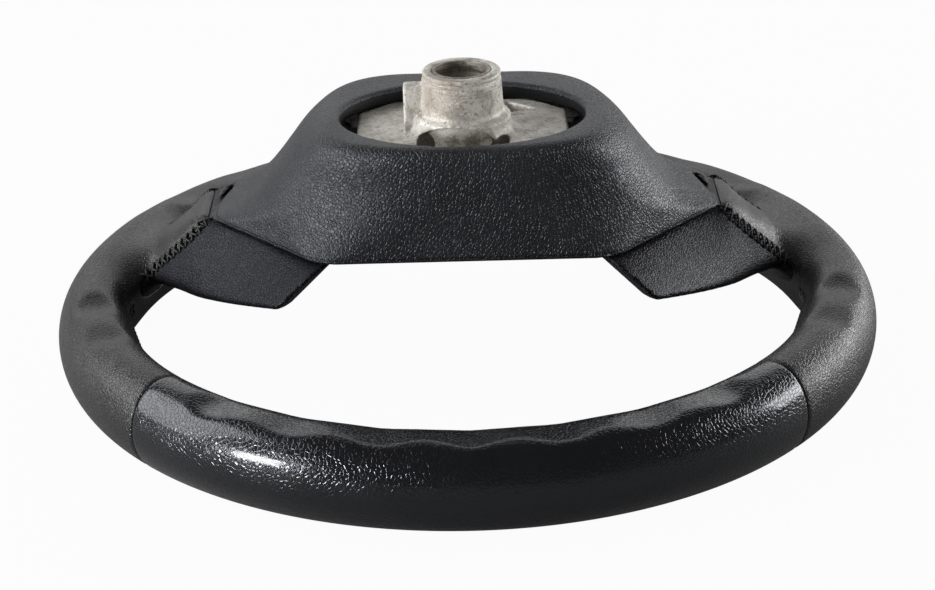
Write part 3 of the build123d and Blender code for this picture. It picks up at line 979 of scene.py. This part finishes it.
def spoke_seam(side, start_y):
    """The stitched edge of a skin on one side of its spoke, from the ear of the cover down to the rim."""
    way = np.linspace(0, 1, spoke_seam_samples)
    x = side * (stitch_top[0] + way * stitch_run[0])
    z = stitch_top[1] + way * stitch_run[1]
    starts = np.column_stack([x, np.full(len(way), start_y), z])
    ends = np.column_stack([x, np.full(len(way), spoke_heart_y), z])
    points, found = first_crossing(starts, ends)
    return points[found & (np.hypot(points[:, 0], points[:, 1]) < stitch_cylinder)]


def rim_seam(start, end):
    """The seam on the inner wall of the rim between two angles counted from twelve o'clock."""
    angle = np.radians(np.linspace(start, end, rim_seam_samples))
    outward = np.column_stack([np.sin(angle), -np.cos(angle), np.zeros(len(angle))])
    lift = np.array((0, 0, inner_seam_z))
    return first_crossing(outward * inner_seam_start + lift, outward * rim_radius + lift)[0]


def evenly(path, pitch):
    """Points at an even pitch along a path."""
    steps = np.linalg.norm(np.diff(path, axis=0), axis=1)
    length = np.concatenate([[0], np.cumsum(steps)])
    places = np.linspace(0, length[-1], max(int(length[-1] / pitch), 2) + 1)
    return np.column_stack([np.interp(places, length, path[:, axis]) for axis in range(3)])


def thread_tubes(lines):
    """Round tubes with flat ends along lines of points, all in one mesh."""
    sides = thread_sides
    points, faces = [], []
    for line in lines:
        run = np.gradient(line, axis=0)
        run /= np.linalg.norm(run, axis=1)[:, None]
        normal = gradient(body_field, line)
        normal -= (normal * run).sum(1)[:, None] * run
        normal /= np.linalg.norm(normal, axis=1)[:, None]
        aside = np.cross(run, normal)
        first = len(points)
        for row in range(len(line)):
            for side in range(sides):
                turn = 2 * math.pi * side / sides
                spread = math.cos(turn) * normal[row] + math.sin(turn) * aside[row]
                points.append(line[row] + thread_radius * spread)
        for row in range(len(line) - 1):
            for side in range(sides):
                a, b = first + row * sides + side, first + row * sides + (side + 1) % sides
                faces.append([b, a, a + sides, b + sides])
        faces.append([first + side for side in range(sides)])
        faces.append([first + (len(line) - 1) * sides + side for side in reversed(range(sides))])
    return np.array(points), faces


def cross_stitches(path):
    """Two threads that cross at each step of a seam, laid on the surface with their ends sunk in."""
    places = evenly(path, stitch_pitch)
    run = np.gradient(places, axis=0)
    run /= np.linalg.norm(run, axis=1)[:, None]
    normal = gradient(body_field, places)
    normal /= np.linalg.norm(normal, axis=1)[:, None]
    aside = np.cross(normal, run)
    way = np.linspace(-1, 1, stitch_points)
    sink = end_sink * np.abs(way) ** 5
    lines = []
    for place, along, across in zip(places[:-1] + np.diff(places, axis=0) / 2, run, aside):
        for hand, lift in ((1, 0.0), (-1, over_lift)):
            slant = hand * stitch_pitch * stitch_slant * along + stitch_half_width * across
            line = to_surface(body_field, place + way[:, None] * slant, limit=3.0, rounds=3)
            slope = gradient(body_field, line)
            out = slope / np.linalg.norm(slope, axis=1)[:, None]
            lines.append(line + out * (stitch_lift + lift * (1 - way ** 2) - sink)[:, None])
    return lines


def stitching():
    """All the cross-stitching, as one piece."""
    lines = []
    for side in (-1, 1):
        lines += cross_stitches(spoke_seam(side, near_side_y))
        lines += cross_stitches(spoke_seam(side, far_side_y))
    lines += cross_stitches(rim_seam(*upper_seam))
    lines += cross_stitches(rim_seam(*lower_seam))
    points, faces = thread_tubes(lines)
    piece = mesh_piece("cross_stitching", points, faces, thread_black)


stitching()


# Stage, camera and light
def stage():
    """A plain floor."""
    bpy.ops.mesh.primitive_plane_add(size=floor_size)
    floor = bpy.context.object
    floor.name = "floor"
    floor.data.materials.append(plain_floor("floor_white"))


def camera():
    """The photo's camera, fitted to the rim's outline."""
    data = bpy.data.cameras.new("camera")
    data.lens = camera_lens
    data.sensor_width = camera_sensor
    data.shift_x, data.shift_y = camera_shift
    eye = bpy.data.objects.new("camera", data)
    bpy.context.scene.collection.objects.link(eye)
    tilt = Matrix.Rotation(math.pi / 2 - camera_elevation, 4, "X")
    look = tilt @ Matrix.Rotation(camera_roll, 4, "Z")
    eye.matrix_world = Matrix.Translation(camera_place) @ look
    bpy.context.scene.camera = eye


def softbox(name, place, aim, size, power):
    """A rectangular lamp in metres and watts, turned to a point."""
    data = bpy.data.lights.new(name, "AREA")
    data.shape = "RECTANGLE"
    data.size, data.size_y = size
    data.energy = power
    lamp = bpy.data.objects.new(name, data)
    bpy.context.scene.collection.objects.link(lamp)
    lamp.location = place
    lamp.rotation_euler = (Vector(aim) - Vector(place)).to_track_quat("-Z", "Y").to_euler()


def world():
    """Dim light from all round, and white to the camera."""
    scene = bpy.context.scene
    scene.world = bpy.data.worlds.new("studio")
    scene.world.use_nodes = True
    tree = scene.world.node_tree
    shade = tree.nodes["Background"]
    shade.inputs["Color"].default_value = (1, 1, 1, 1)
    rays = tree.nodes.new("ShaderNodeLightPath")
    level = tree.nodes.new("ShaderNodeMapRange")
    level.inputs["To Min"].default_value = world_level
    level.inputs["To Max"].default_value = 1.0
    tree.links.new(rays.outputs["Is Camera Ray"], level.inputs["Value"])
    tree.links.new(level.outputs["Result"], shade.inputs["Strength"])
    scene.view_settings.view_transform = "Standard"


stage()
camera()
world()

# Lamps: name, place, aim, width and height in metres, then watts
softbox("key_box", (-1.15, -0.86, 0.27), (-0.085, -0.16, 0.03), (0.32, 0.25), 15)
softbox("left_box", (-1.15, 0.05, 0.65), (0, 0, 0.05), (1.0, 0.9), 13)
softbox("right_box", (1.2, 0.66, 0.24), (0, 0, 0.06), (0.9, 0.4), 8)
softbox("right_core", (1.3, 0.05, 0.4), (0.1, -0.1, 0.04), (0.45, 0.35), 6)
softbox("back_box", (0, 1.7, 0.85), (0, 0, 0.05), (3.0, 1.3), 13)
